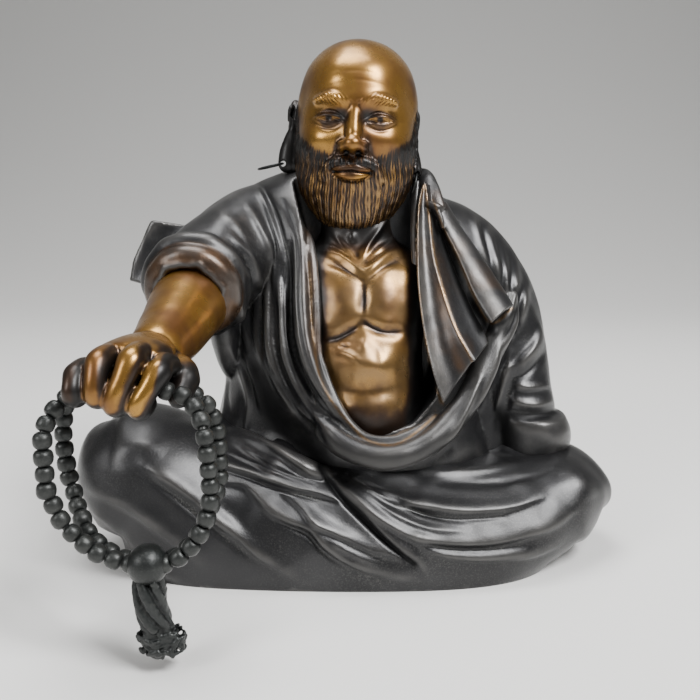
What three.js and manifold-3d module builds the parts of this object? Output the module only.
// A seated bronze daruma: a bald, bearded monk in a loose robe, legs folded, one arm held out,
// with a double ring of prayer beads and a tassel hanging from the fist and a hoop in each ear.
// Millimetres, +Z up, the figure faces -Y and its right hand is on the -X side.
import * as THREE from 'three';
import { mergeVertices } from 'three/addons/utils/BufferGeometryUtils.js';
import Module from 'manifold-3d';

const wasm = await Module();
wasm.setup();
const { Manifold, Mesh: SolidMesh } = wasm;

// Driving dimensions
const FIGURE_HEIGHT = 248;
const KNEE_REACH_RIGHT = 131;
const KNEE_REACH_LEFT = 129;
const LAP_FRONT = 82;
const SHOULDER_HEIGHT = 152;
const SHOULDER_REACH = 64;
const HEAD_HALF_WIDTH = 29.5;
const HEAD_HALF_DEPTH = 35.5;
const BEAD_RADIUS = 3.5;
const BEAD_PITCH = 6.1;
const GURU_RADIUS = 7.6;
const HOOP_RADIUS = 6.2;
const HOOP_WIRE = 0.5;
const EAR_BORE = 1.5;
const CLEARANCE = 0.35;

const BRONZE_DARK = new THREE.MeshStandardMaterial({ color: 0x2b2a2b, roughness: 0.42, metalness: 0.75 });
const BRONZE_BROWN = new THREE.MeshStandardMaterial({ color: 0x8a5a22, roughness: 0.3, metalness: 0.9 });

const vector = (list) => new THREE.Vector3(...list);

// Turns a closed geometry into a solid, with its faces pointing out
function toSolid(geometry) {
  const bare = geometry.clone();
  bare.deleteAttribute('normal');
  bare.deleteAttribute('uv');
  const merged = mergeVertices(bare, 1e-4);
  const places = new Float32Array(merged.attributes.position.array);
  const corners = [];
  const index = merged.index.array;
  let volume = 0;
  const a = new THREE.Vector3();
  const b = new THREE.Vector3();
  const c = new THREE.Vector3();
  for (let i = 0; i < index.length; i += 3) {
    const [p, q, r] = [index[i], index[i + 1], index[i + 2]];
    if (p === q || q === r || r === p) continue;
    corners.push(p, q, r);
    a.fromArray(places, p * 3);
    b.fromArray(places, q * 3);
    c.fromArray(places, r * 3);
    volume += a.dot(b.cross(c));
  }
  if (volume < 0) {
    for (let i = 0; i < corners.length; i += 3) {
      [corners[i + 1], corners[i + 2]] = [corners[i + 2], corners[i + 1]];
    }
  }
  return new Manifold(new SolidMesh({
    numProp: 3, vertProperties: places, triVerts: new Uint32Array(corners),
  }));
}

function toGeometry(solid) {
  const mesh = solid.getMesh();
  const geometry = new THREE.BufferGeometry();
  geometry.setAttribute('position', new THREE.BufferAttribute(new Float32Array(mesh.vertProperties), 3));
  geometry.setIndex(new THREE.BufferAttribute(new Uint32Array(mesh.triVerts), 1));
  geometry.computeVertexNormals();
  return geometry;
}

const join = (solids) => solids.reduce((whole, next) => whole.add(next));

// The largest piece of a solid, without loose crumbs and sealed pockets
const mainPiece = (solid) => solid.decompose().sort((a, b) => b.volume() - a.volume())[0];

// A sphere whose rings are moved onto sections along a spine. Each station gives the spine's
// point, the section's two half sizes and how square it is. Sections stand square to the spine,
// or to a fixed aim. An end is flat, or rounds off over the length in round.
function loft({ stations, side, across, along, round = [0, 0], aim, relief }) {
  const geometry = new THREE.SphereGeometry(1, across, along);
  const places = geometry.attributes.position;
  const spine = new THREE.CatmullRomCurve3(stations.map((s) => vector(s.at)), false, 'catmullrom', 0.5);
  const girth = new THREE.CatmullRomCurve3(
    stations.map((s) => new THREE.Vector3(s.half[0], s.half[1], s.power ?? 2)), false, 'catmullrom', 0.5);
  const first = round[0] ? 0 : 1;
  const last = round[1] ? 0 : 1;
  const ends = [spine.getPoint(0), spine.getPoint(1)];
  const firstSide = vector(side);
  for (let row = 0; row <= along; row += 1) {
    const t = THREE.MathUtils.clamp((row - first) / (along - first - last), 0, 1);
    const centre = spine.getPoint(t);
    const tangent = aim ? vector(aim) : spine.getTangent(t);
    const up = tangent.clone().cross(firstSide).normalize();
    const out = up.clone().cross(tangent).normalize();
    const size = girth.getPoint(t);
    let shrink = row === 0 || row === along ? 0 : 1;
    ends.forEach((end, k) => {
      const away = centre.distanceTo(end);
      if (round[k] && away < round[k]) shrink *= Math.sqrt(1 - (1 - away / round[k]) ** 2);
    });
    for (let column = 0; column <= across; column += 1) {
      const angle = (2 * Math.PI * (column % across)) / across;
      const [cosine, sine] = [Math.cos(angle), Math.sin(angle)];
      const u = Math.sign(cosine) * Math.abs(cosine) ** (2 / size.z) * size.x * shrink;
      const v = Math.sign(sine) * Math.abs(sine) ** (2 / size.z) * size.y * shrink;
      const place = centre.clone().addScaledVector(out, u).addScaledVector(up, v);
      if (relief) {
        const outward = place.clone().sub(centre);
        if (outward.lengthSq() > 1) {
          outward.normalize();
          place.addScaledVector(outward, relief(place, t, angle) * Math.min(1, shrink * 2));
        }
      }
      places.setXYZ(row * (across + 1) + column, place.x, place.y, place.z);
    }
  }
  return toSolid(geometry);
}

// A radius is one number, or a pair of half sizes
const pair = (radius) => (Array.isArray(radius) ? radius : [radius, radius]);

// A limb is a loft along points with a radius at each, and round ends
const limb = (points, radii, options = {}) => loft({
  stations: points.map((at, i) => ({ at, half: pair(radii[i]) })),
  side: [1, 0, 0], across: 12, along: 8, round: [pair(radii[0])[0], pair(radii.at(-1))[0]], ...options,
});

const bump = (distance, width) => Math.exp(-((distance / width) ** 2));

// Distance from (x, z) to a line of points, and how far along the line that is, from 0 to 1
function nearLine(x, z, line) {
  let nearest = Infinity;
  let share = 0;
  for (let i = 0; i + 1 < line.length; i += 1) {
    const [x0, z0] = line[i];
    const [dx, dz] = [line[i + 1][0] - x0, line[i + 1][1] - z0];
    const s = THREE.MathUtils.clamp(((x - x0) * dx + (z - z0) * dz) / (dx * dx + dz * dz), 0, 1);
    const distance = Math.hypot(x - x0 - s * dx, z - z0 - s * dz);
    if (distance < nearest) {
      nearest = distance;
      share = (i + s) / (line.length - 1);
    }
  }
  return [nearest, share];
}

// Folds drawn on the front view: each has a line of [x, z] points, a height and a width
const foldRelief = (folds) => (x, z) => folds.reduce((sum, { line, height, width }) => {
  const [distance, share] = nearLine(x, z, line);
  return sum + height * bump(distance, width) * Math.sin(Math.PI * (0.12 + 0.76 * share));
}, 0);

// Legs folded under the robe, from knee to knee
const LAP_POWER = 2.2;
const LAP = [
  { at: [-KNEE_REACH_RIGHT, -45, 47], half: [24, 20] },
  { at: [-116, -43, 45], half: [30, 28] },
  { at: [-94, -38, 39], half: [40, 35] },
  { at: [-54, -30, 12], half: [50, 53] },
  { at: [0, -28, 8], half: [LAP_FRONT - 28, 48] },
  { at: [48, -28, 10], half: [52, 43] },
  { at: [88, -28, 22], half: [43, 28] },
  { at: [112, -30, 27], half: [32, 23] },
  { at: [KNEE_REACH_LEFT, -33, 29], half: [24, 17] },
].map((station) => ({ ...station, power: LAP_POWER }));

const legs = () => loft({ stations: LAP, side: [0, 1, 0], across: 16, along: 18, round: [22, 20] });

// The y of the lap's front under a point of the front view
function lapFront(x, z) {
  const next = Math.max(1, LAP.findIndex((station) => station.at[0] >= x));
  const [a, b] = [LAP[next - 1], LAP[next]];
  const share = (x - a.at[0]) / (b.at[0] - a.at[0]);
  const mix = (key, k) => THREE.MathUtils.lerp(a[key][k], b[key][k], share);
  const high = Math.min(0.93, Math.abs(z - mix('at', 2)) / mix('half', 1));
  return mix('at', 1) - mix('half', 0) * (1 - high ** LAP_POWER) ** (1 / LAP_POWER);
}

// Folds of the lap, each from its high end near the belly to its low end: [x, z], [x, z], sag, width
const LAP_FOLDS = [
  [[-16, 52], [34, 4], -6, 5],
  [[-8, 50], [100, 44], -7, 4],
  [[2, 42], [92, 34], -8, 4],
  [[10, 32], [86, 24], -6, 4],
  [[20, 20], [76, 13], -4, 4],
  [[-22, 52], [-78, 62], -4, 4.5],
  [[-18, 42], [-92, 48], -6, 4.5],
  [[-10, 24], [-88, 26], -9, 5],
];

const lapFolds = () => LAP_FOLDS.map(([from, to, sag, width]) => {
  const points = [0, 0.25, 0.5, 0.75, 1].map((t) => {
    const x = THREE.MathUtils.lerp(from[0], to[0], t);
    const z = THREE.MathUtils.lerp(from[1], to[1], t) + sag * Math.sin(Math.PI * t);
    return [x, lapFront(x, z) + 1.5, z];
  });
  return limb(points, [1.2, width * 0.8, width, width * 0.8, 1.2], { side: [0, 1, 0], across: 4, along: 5 });
});

const robeFolds = foldRelief([
  { line: [[-40, 166], [-44, 130], [-40, 95], [-24, 66]], height: 3, width: 4 },
  { line: [[-50, 160], [-56, 125], [-50, 90], [-34, 62]], height: 3, width: 4.5 },
]);

// Robe over the back, shoulders and hips, down to the ground, with broad folds behind
const BACK_FOLDS = { count: 9, depth: 1.6, lean: 22 };

const robeBody = () => loft({
  stations: [
    { at: [6, 10, -8], half: [76, 52], power: 2.3 },
    { at: [4, 8, 15], half: [82, 58], power: 2.3 },
    { at: [2, 2, 45], half: [76, 60], power: 2.3 },
    { at: [0, -4, 70], half: [66, 57], power: 2.2 },
    { at: [0, -2, 100], half: [62, 50], power: 2.2 },
    { at: [0, 2, 130], half: [64, 44], power: 2.2 },
    { at: [-2, 3, SHOULDER_HEIGHT], half: [SHOULDER_REACH, 38], power: 2.2 },
    { at: [-4, 4, 167], half: [58, 33], power: 2.1 },
    { at: [-5, 6, 177], half: [47, 28] },
    { at: [-4, 7, 184], half: [33, 24] },
    { at: [-2, 9, 188], half: [22, 18] },
  ],
  side: [1, 0, 0], aim: [0, 0, 1], across: 20, along: 13, round: [0, 4],
  relief: (p) => (p.y < -10 ? robeFolds(p.x, p.z)
    : BACK_FOLDS.depth * Math.cos(Math.atan2(p.y, p.x) * BACK_FOLDS.count + p.z / BACK_FOLDS.lean)),
});

// The open front of the robe: its inner edge, as seen from the front
const OPENING = [
  [-28, 182], [-21, 154], [-16, 127], [-14, 105], [-9, 83], [0, 71], [13, 66.5], [29, 70.5], [40, 81],
  [43, 100], [40, 130], [34, 150], [31, 170], [31, 200], [-28, 200],
];
const OPENING_DEPTH = 14;

function robeOpening() {
  const shape = new THREE.Shape(OPENING.map(([x, z]) => new THREE.Vector2(x, z)));
  const geometry = new THREE.ExtrudeGeometry(shape, { depth: 120, bevelEnabled: false });
  geometry.rotateX(Math.PI / 2);
  geometry.translate(0, -OPENING_DEPTH, 0);
  return toSolid(geometry);
}

// Bare chest and belly with the neck
function chestRelief(x, z) {
  const breasts = 3 * (bump(Math.hypot(x + 6, z - 130), 10) + bump(Math.hypot(x - 17, z - 130), 10));
  const belly = 2.5 * bump(z - 92, 14);
  const breastbone = -1.6 * bump(x - 5.5, 3) * bump(z - 128, 16);
  const collarbones = 2 * bump(z - 147, 3);
  return breasts + belly + breastbone + collarbones;
}

const bareTorso = () => loft({
  stations: [
    { at: [9, -32, 44], half: [30, 24] },
    { at: [8, -32, 70], half: [30, 29] },
    { at: [7, -29, 98], half: [28, 25] },
    { at: [6, -25, 122], half: [31, 21], power: 2.3 },
    { at: [5, -20, 138], half: [33, 18], power: 2.3 },
    { at: [4, -15, 147], half: [26, 15] },
    { at: [3, -11, 156], half: [18, 15] },
    { at: [2, -8, 184], half: [17, 16] },
  ],
  side: [1, 0, 0], aim: [0, 0, 1], across: 16, along: 13, round: [0, 6],
  relief: (p) => (p.y < -28 ? chestRelief(p.x, p.z) : 0),
});

// A sheet of cloth between four corners, bulging along its middle
function panel({ corners, bulge = 0, thick, fine = [4, 3] }) {
  const geometry = new THREE.BoxGeometry(1, 1, 1, fine[0], fine[1], 1);
  const places = geometry.attributes.position;
  const [topLeft, topRight, footLeft, footRight] = corners.map(vector);
  const facing = topRight.clone().sub(topLeft).cross(footLeft.clone().sub(topLeft)).normalize();
  for (let i = 0; i < places.count; i += 1) {
    const [w, fall, layer] = [places.getX(i) + 0.5, 0.5 - places.getY(i), places.getZ(i) + 0.5];
    const place = topLeft.clone().lerp(topRight, w).lerp(footLeft.clone().lerp(footRight, w), fall);
    const rise = bulge * Math.sin(Math.PI * w) * (0.25 + 0.75 * fall);
    place.addScaledVector(facing, thick * (0.5 - layer) - rise);
    places.setXYZ(i, place.x, place.y, place.z);
  }
  return toSolid(geometry);
}

// Sleeve of the held-out arm, its rolled cuff, and the loose corner and drop of its cloth
const MOUTH = [-71, -49, 132];
const ARM_AIM = vector([-5, -60, -16]).normalize();

const rightSleeve = () => loft({
  stations: [
    { at: [-28, 6, 155], half: [25, 26] },
    { at: [-45, 0, 153], half: [26, 26] },
    { at: [-57, -18, 146], half: [25, 25] },
    { at: [-66, -35, 138], half: [24, 22.5] },
    { at: MOUTH, half: [22, 20.5] },
  ],
  side: [0, 0, 1], across: 12, along: 8, round: [14, 0],
  relief: (p, t, angle) => 1.6 * Math.cos(angle * 4 + t * 5),
});

function rolledCuff() {
  const geometry = new THREE.TorusGeometry(15.5, 4.5, 6, 14);
  geometry.applyQuaternion(new THREE.Quaternion().setFromUnitVectors(new THREE.Vector3(0, 0, 1), ARM_AIM));
  geometry.translate(...MOUTH);
  return toSolid(geometry);
}

const sleeveCorner = () => panel({
  corners: [[-94, -8, 160.5], [-64, -6, 155], [-106, -12, 133], [-70, -14, 122]],
  bulge: 3,
  thick: 9,
  fine: [3, 2],
});

const sleeveDrop = () => loft({
  stations: [
    { at: [-62, -24, 122], half: [10, 16] },
    { at: [-59, -18, 98], half: [8, 14] },
    { at: [-55, -14, 84], half: [8, 13] },
    { at: [-56, -20, 60], half: [10, 14] },
  ],
  side: [1, 0, 0], across: 9, along: 5, round: [0, 0],
});

// Bare forearm, palm, curled fingers and thumb
const forearm = () => limb(
  [[-68, -34, 131], [-73, -56, 125.5], [-75, -78, 118.5], [-76.5, -98, 114], [-78, -112, 112.5]],
  [14, 15, 14, 11.8, [12, 10]], { across: 12, along: 8 });

const palm = () => loft({
  stations: [
    { at: [-78.5, -105, 113], half: [12, 9.5] },
    { at: [-81.5, -118, 113.5], half: [15.5, 9.5] },
    { at: [-84, -129, 112.5], half: [16.5, 8.5] },
  ],
  side: [1, 0, 0.12], across: 10, along: 5, round: [4, 4],
});

const FINGERS = [
  { x: -98, knuckle: 112, tip: 108, radius: 3.4 },
  { x: -89.5, knuckle: 117.5, tip: 105.5, radius: 4.4 },
  { x: -80, knuckle: 117.5, tip: 102.5, radius: 4.9 },
  { x: -71.5, knuckle: 113, tip: 101.5, radius: 4.6 },
];

const finger = ({ x, knuckle, tip, radius }) => limb(
  [[x + 1, -122, knuckle - 2], [x + 0.5, -133, knuckle - 0.5], [x - 1, -140, knuckle - 6],
    [x - 2.5, -140, tip + 1.5], [x - 2.5, -133, tip - 0.5], [x - 2, -126, tip + 1]],
  [radius, radius * 1.05, radius, radius * 0.95, radius * 0.9, radius * 0.85],
  { across: 6, along: 7 });

const thumb = () => limb(
  [[-70, -106, 109], [-63.5, -118, 109], [-62.5, -128, 105], [-66, -136, 101]],
  [6.5, 6.2, 5.4, 4.6], { across: 6, along: 6 });

// Sleeve of the other arm, down to its rolled end on the thigh
const leftSleeve = () => loft({
  stations: [
    { at: [26, 6, 150], half: [27, 25] },
    { at: [46, 6, 148], half: [27, 27] },
    { at: [63, 6, 131], half: [26, 25] },
    { at: [71, 4, 112], half: [24, 24] },
    { at: [77, 0, 94], half: [22, 22] },
    { at: [82, -7, 78], half: [21, 20] },
    { at: [88, -14, 63], half: [20, 19] },
    { at: [91, -19, 52], half: [19, 18] },
    { at: [93, -22, 42], half: [14, 14] },
  ],
  side: [0, 1, 0], across: 11, along: 15, round: [14, 4],
  relief: (p, t, angle) => (t > 0.55 ? 1.8 * Math.cos((t - 0.55) * 44) : 1.5 * Math.cos(angle * 5 + t * 8)),
});

// Cloth that joins the sleeve to the body under the arm
const underarm = () => loft({
  stations: [
    { at: [52, 2, 138], half: [12, 20] },
    { at: [62, 0, 104], half: [12, 18] },
    { at: [66, -6, 76], half: [13, 18] },
    { at: [70, -12, 46], half: [14, 18] },
  ],
  side: [1, 0, 0], aim: [0, 0, 1], across: 8, along: 5,
});

// Edges of the robe: the inner hem round the opening and the thick roll below the belly
const HEM = [
  [-28, -22, 179], [-21, -38, 154], [-16, -46, 127], [-14.5, -52, 105], [-9, -60, 83], [0, -66, 70.6],
  [13.4, -68, 66], [29, -66, 70], [41, -60, 81], [46, -50, 96],
];
const HEM_HALF = [2.6, 3.4];
const ROLL = [
  [-38, -16, 172], [-32, -44, 127], [-21.5, -57, 94], [-11, -65, 76.5], [0, -69, 66], [14, -71, 61],
  [33, -69, 64], [46, -63, 77], [56, -55, 94], [63, -46, 112],
];
const ROLL_HALF = [4.2, 5.2];
const ROLL_SWELL = 0.45;

const innerHem = () => limb(HEM, HEM.map(() => HEM_HALF), { side: [0, 1, 0], across: 4, along: 16 });

function outerRoll() {
  const radii = ROLL.map((_, i) => {
    const swell = 1 + ROLL_SWELL * Math.sin((Math.PI * i) / (ROLL.length - 1));
    return ROLL_HALF.map((half) => half * swell);
  });
  return limb(ROLL, radii, { side: [0, 1, 0], across: 6, along: 17 });
}

// Cloth gathered at the left shoulder: a strap, its knot, and three pleats with cut ends
const pleats = () => [
  { corners: [[31, -15, 182], [41, -20, 172], [42, -62, 81], [55, -56, 99]], bulge: 6, thick: 5 },
  { corners: [[37, -17, 178], [44, -20, 170], [54, -56, 98], [63, -52, 110]], bulge: 5, thick: 6 },
  { corners: [[41, -18, 174], [47, -20, 168], [64, -49, 115], [76, -41, 121]], bulge: 5, thick: 7 },
].map(panel);

const STRAP = [[32, 26, 174], [35, 8, 182], [37, -8, 182], [40, -17, 174], [42, -22, 166]];
const STRAP_HALF = [3.6, 6];

const strap = () => limb(STRAP, STRAP.map(() => STRAP_HALF), { side: [0, 1, 0], across: 6, along: 8 });
const knot = () => rod([[37, -24, 170], [45, -24, 165]], [4.2, 4.2]);

// Head: a bald skull with a short beard, a plain face and long ears
const HEAD = [3.5, -3, 207];
const FACE_TURN = -3;
const HEAD_LEAN = 2.5;
const EYE_HEIGHT = 1.5;
const NOSE_BASE = -14;
const MOUTH_LINE = -22;

const placeHead = (solid) => solid.rotate([0, HEAD_LEAN, FACE_TURN]).translate(HEAD);

function faceRelief(x, z) {
  const side = Math.abs(x);
  const brow = 1.6 * bump(z - EYE_HEIGHT - 8, 4) * bump(side - 11, 9);
  const sockets = -4 * bump(Math.hypot((side - 12) / 1.3, z - EYE_HEIGHT), 6);
  const cheeks = 1.6 * bump(Math.hypot(side - 17, z + 9), 9);
  const beard = 3 * THREE.MathUtils.smoothstep(-z, 16, 26);
  return brow + sockets + cheeks + beard;
}

const skull = () => loft({
  stations: [
    { at: [0, -12, -49], half: [9, 9] },
    { at: [0, -9, -45], half: [15, 15] },
    { at: [0, -4, -38], half: [22, 22], power: 2.1 },
    { at: [0, -1, -29], half: [27, 28], power: 2.1 },
    { at: [0, 0, -16], half: [29, 31], power: 2.1 },
    { at: [0, 1, -3], half: [HEAD_HALF_WIDTH - 0.5, HEAD_HALF_DEPTH - 1], power: 2.1 },
    { at: [0, 3, 12], half: [HEAD_HALF_WIDTH, HEAD_HALF_DEPTH] },
    { at: [0, 4, 25], half: [HEAD_HALF_WIDTH * 0.9, HEAD_HALF_DEPTH * 0.92] },
    { at: [0, 5, 35], half: [HEAD_HALF_WIDTH * 0.69, HEAD_HALF_DEPTH * 0.72] },
    { at: [0, 5, 41], half: [HEAD_HALF_WIDTH * 0.42, HEAD_HALF_DEPTH * 0.45] },
    { at: [0, 5, FIGURE_HEIGHT - HEAD[2]], half: [4, 5] },
  ],
  side: [1, 0, 0], aim: [0, 0, 1], across: 20, along: 14, round: [1, 1],
  relief: (p) => (p.y < -6 ? faceRelief(p.x, p.z) * THREE.MathUtils.smoothstep(-p.y, 6, 16) : 0),
});

// Features of the face. Those that run from side to side have their first half size upright.
const rod = (points, radii, side = [0, 0, 1]) => limb(points, radii, { side, across: 5, along: 4 });

function face() {
  const nose = rod(
    [[0, -30.5, 9], [0, -32.5, 0], [0, -36, -8], [0, -36, NOSE_BASE + 3]],
    [[2.4, 2.4], [3, 3], [4.2, 4], [4.6, 4]], [1, 0, 0]);
  const wings = rod(
    [[-6.4, -31.5, NOSE_BASE + 3], [0, -34, NOSE_BASE + 2.4], [6.4, -31.5, NOSE_BASE + 3]],
    [2.4, 2.8, 2.4]);
  const lips = [[0.2, 1.3], [-2.9, 1.7]].map(([drop, height]) => rod(
    [[-8.5, -29.5, MOUTH_LINE + drop], [0, -33.6, MOUTH_LINE + drop], [8.5, -29.5, MOUTH_LINE + drop]],
    [[0.7, 1], [height, 1.8], [0.7, 1]]));
  const eyelid = [[7, -28.4, EYE_HEIGHT], [12, -28.6, EYE_HEIGHT + 0.4], [17.5, -25.6, EYE_HEIGHT]];
  const brow = [[5, -31.5, EYE_HEIGHT + 7.5], [12, -30.8, EYE_HEIGHT + 9.5], [21, -24.5, EYE_HEIGHT + 6.5]];
  const whisker = [[1.5, -33.4, MOUTH_LINE + 4.4], [8, -31.4, MOUTH_LINE + 3], [13, -27.6, MOUTH_LINE - 5]];
  const pairs = [-1, 1].flatMap((side) => [
    [eyelid, [[1, 1], [2.9, 3.4], [1, 1]]],
    [brow, [[1.4, 1.6], [1.8, 2], [1.2, 1.6]]],
    [whisker, [[1.8, 2], [2.2, 2.2], [1.4, 1.8]]],
  ].map(([points, radii]) => rod(points.map(([x, y, z]) => [side * x, y, z]), radii)));
  return [nose, wings, ...lips, ...pairs];
}

// Each ear from its top to its lobe, the hole bored through the lobe, and how far its hoop swings
// round: 90 degrees hangs straight down, 0 degrees lies out to the figure's right
const EARS = {
  right: {
    line: [[-26.5, 0, 216], [-27.5, 4, 213], [-28.2, 3, 204], [-30, -2, 196], [-30.8, -6, 184.5]],
    half: [[3, 5], [3.2, 7], [3.6, 6], [4.8, 4.8], [5.2, 3]],
    hole: [-33, -7, 189.2],
    swing: 13,
  },
  left: {
    line: [[30.6, 0, 213], [31.4, 5, 209], [30.8, 2, 200], [31.4, -5, 192], [32.4, -11, 182.2]],
    half: [[3, 5], [3.2, 7], [3, 6], [3.2, 4.4], [3.4, 2.4]],
    hole: [32.6, -11, 184],
    swing: 75,
  },
};

const ear = ({ line, half }) => limb(line, half, { across: 6, along: 7 });

function earBore({ hole }) {
  const bore = new THREE.CylinderGeometry(EAR_BORE, EAR_BORE, 12, 7);
  bore.translate(...hole);
  return toSolid(bore);
}

// Moves a geometry that lies flat round the origin to where a hoop hangs
function hang(geometry, { hole, swing }) {
  geometry.translate(-HOOP_RADIUS, 0, 0);
  geometry.rotateY(-THREE.MathUtils.degToRad(swing));
  geometry.translate(...hole);
  return toSolid(geometry);
}

const hoop = (place) => hang(new THREE.TorusGeometry(HOOP_RADIUS, HOOP_WIRE, 5, 12), place);

// The gap in the cloth that a hoop hangs in
function hoopGap(place) {
  const disc = new THREE.CylinderGeometry(HOOP_RADIUS + 1.4, HOOP_RADIUS + 1.4, 2.8, 10);
  disc.rotateX(Math.PI / 2);
  return hang(disc, place);
}

// Prayer beads: two rings of beads that spread apart between the fist and the big bead below
const RING_CENTRE = [-80.5, 73.5];
const RING_HALF = [29.6, 32];
const RING_TOP_SQUARE = 3.6;
const WAIST = 0.62;
const FOOT = [-74, -141, 42];
const FRONT_STRAND = { foot: -141.5, open: -139.5, fist: -131 };
const REAR_STRAND = { foot: -138, open: -117.5, fist: -122 };

// A strand's point: angle 0 is at the big bead and half a turn is in the fist
function strandPoint(angle, strand) {
  const high = (1 - Math.cos(angle)) / 2;
  const opening = THREE.MathUtils.lerp(strand.foot, strand.open, THREE.MathUtils.smoothstep(high, 0, 0.4));
  const y = THREE.MathUtils.lerp(opening, strand.fist, THREE.MathUtils.smoothstep(high, 0.62, 0.95));
  const sway = (FOOT[0] - RING_CENTRE[0]) * (1 - high) ** 4 - 1.5 * high ** 4;
  const power = 2 / THREE.MathUtils.lerp(2, RING_TOP_SQUARE, THREE.MathUtils.smoothstep(high, 0.35, 0.65));
  const [sine, cosine] = [Math.sin(angle), Math.cos(angle)];
  const reach = RING_HALF[0] * Math.sign(sine) * Math.abs(sine) ** power;
  const rise = -RING_HALF[1] * Math.sign(cosine) * Math.abs(cosine) ** power;
  return [RING_CENTRE[0] + sway + reach, y, RING_CENTRE[1] + rise];
}

function strand(route, grow, beaded) {
  const beads = Math.round((Math.PI * (RING_HALF[0] + RING_HALF[1])) / BEAD_PITCH);
  const steps = beaded ? beads * 2 : beads;
  const around = 6;
  const turns = Array.from({ length: 48 }, (_, i) => vector(strandPoint((2 * Math.PI * i) / 48, route)));
  const curve = new THREE.CatmullRomCurve3(turns, true);
  const places = [];
  const index = [];
  for (let i = 0; i < steps; i += 1) {
    const centre = curve.getPointAt(i / steps);
    const ahead = curve.getTangentAt(i / steps);
    const out = vector([0, 1, 0]).cross(ahead).normalize();
    const up = ahead.clone().cross(out);
    const radius = (beaded && i % 2 ? BEAD_RADIUS * WAIST : BEAD_RADIUS) + grow;
    for (let k = 0; k < around; k += 1) {
      const turn = (2 * Math.PI * k) / around;
      const place = centre.clone().addScaledVector(out, radius * Math.cos(turn));
      place.addScaledVector(up, radius * Math.sin(turn));
      places.push(place.x, place.y, place.z);
      const next = ((i + 1) % steps) * around;
      const [a, b] = [i * around + k, i * around + ((k + 1) % around)];
      const [c, d] = [next + k, next + ((k + 1) % around)];
      index.push(a, b, d, a, d, c);
    }
  }
  const geometry = new THREE.BufferGeometry();
  geometry.setAttribute('position', new THREE.Float32BufferAttribute(places, 3));
  geometry.setIndex(index);
  return toSolid(geometry);
}

function prayerBeads() {
  const guru = new THREE.SphereGeometry(GURU_RADIUS, 11, 7);
  guru.translate(...FOOT);
  const tassel = loft({
    stations: [
      { at: [FOOT[0], FOOT[1], 37], half: [5.4, 4.5] },
      { at: [FOOT[0] + 1, FOOT[1], 26], half: [5.6, 4.8] },
      { at: [FOOT[0] + 3, FOOT[1], 15], half: [7.5, 6.5] },
      { at: [FOOT[0] + 4.5, FOOT[1], 4.5], half: [9, 7.5] },
    ],
    side: [1, 0, 0], across: 9, along: 8, round: [0, 4],
    relief: (p, t, angle) => 0.8 * Math.cos(angle * 2) + (t > 0.6 ? 0.9 * Math.sin(angle * 5) : 0),
  });
  return join([strand(FRONT_STRAND, 0, true), strand(REAR_STRAND, 0, true), toSolid(guru), tassel]);
}

// The whole casting, cut off flat at the ground
const GROUND_SPAN = 400;

function figure() {
  const ears = Object.values(EARS);
  const robe = join([
    join([legs(), ...lapFolds(), robeBody()]).subtract(robeOpening()), bareTorso(), rightSleeve(),
    rolledCuff(), sleeveCorner(), sleeveDrop(), leftSleeve(), underarm(), innerHem(), outerRoll(),
    ...pleats(), strap(), knot(),
  ]).subtract(join(ears.map(hoopGap)));
  const arm = [forearm(), palm(), thumb(), ...FINGERS.map(finger)];
  const head = [placeHead(skull()), ...face().map(placeHead), ...ears.map(ear)];
  const channels = [FRONT_STRAND, REAR_STRAND].map((route) => strand(route, CLEARANCE, false));
  const above = new THREE.BoxGeometry(GROUND_SPAN, GROUND_SPAN, GROUND_SPAN);
  above.translate(0, 0, GROUND_SPAN / 2);
  const casting = join([robe, ...arm, ...head]).subtract(join([...ears.map(earBore), ...channels]));
  return mainPiece(casting.intersect(toSolid(above)));
}

const PARTS = {
  figure: [figure(), BRONZE_DARK],
  prayer_beads: [prayerBeads(), BRONZE_DARK],
  earring_right: [hoop(EARS.right), BRONZE_BROWN],
  earring_left: [hoop(EARS.left), BRONZE_BROWN],
};

const group = new THREE.Group();
for (const [name, [solid, material]] of Object.entries(PARTS)) {
  const mesh = new THREE.Mesh(toGeometry(solid), material);
  mesh.name = name;
  group.add(mesh);
}

// The origin is under the middle of the whole object
const box = new THREE.Box3().setFromObject(group);
const middle = box.getCenter(new THREE.Vector3());
group.position.set(-middle.x, -middle.y, -box.min.z);

export default group;
